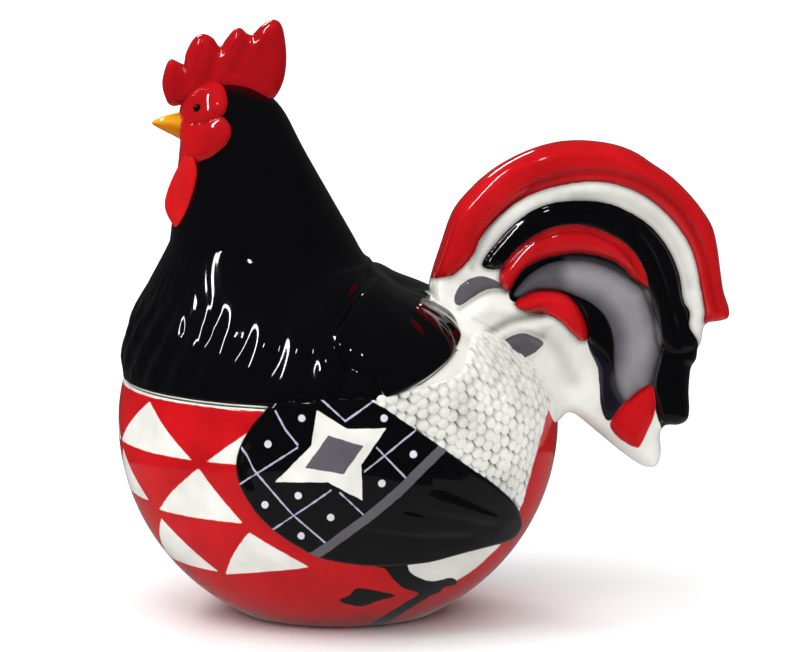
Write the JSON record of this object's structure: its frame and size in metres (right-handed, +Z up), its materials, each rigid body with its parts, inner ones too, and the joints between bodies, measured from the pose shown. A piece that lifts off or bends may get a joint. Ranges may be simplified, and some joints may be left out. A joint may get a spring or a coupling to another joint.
{
  "type": "rooster cookie jar",
  "caption": "Glazed earthenware cookie jar shaped as a rooster: round hollow belly with hooked tail, and a lift-off lid that is the cape, neck and head.",
  "frame": {"origin": "centre of the flat base, on the surface the jar stands on", "axes": "+Z up, -Y towards the beak, +X towards the bird's left wing"},
  "size_m": [0.1842, 0.2834, 0.2767],
  "materials": {
    "glaze_red": "glossy clear glaze over painted earthenware",
    "glaze_white": "glossy clear glaze over earthenware",
    "glaze_black": "glossy black glaze",
    "glaze_yellow": "glossy clear glaze over painted earthenware",
    "silicone": "translucent silicone"
  },
  "bodies": {
    "jar": {"jar_bowl": "glaze_red", "tail": "glaze_white", "left_wing": "glaze_black", "right_wing": "glaze_black"},
    "lid": {"lid_shell": "glaze_black", "comb": "glaze_red", "beak": "glaze_yellow", "left_wattle": "glaze_red", "right_wattle": "glaze_red", "lid_seal": "silicone"}
  },
  "joints": [
    {"name": "lid_lift", "type": "slide", "parent": "jar", "child": "lid", "axis": [0, 0, 1], "range_m": [0, 0.13]}
  ]
}
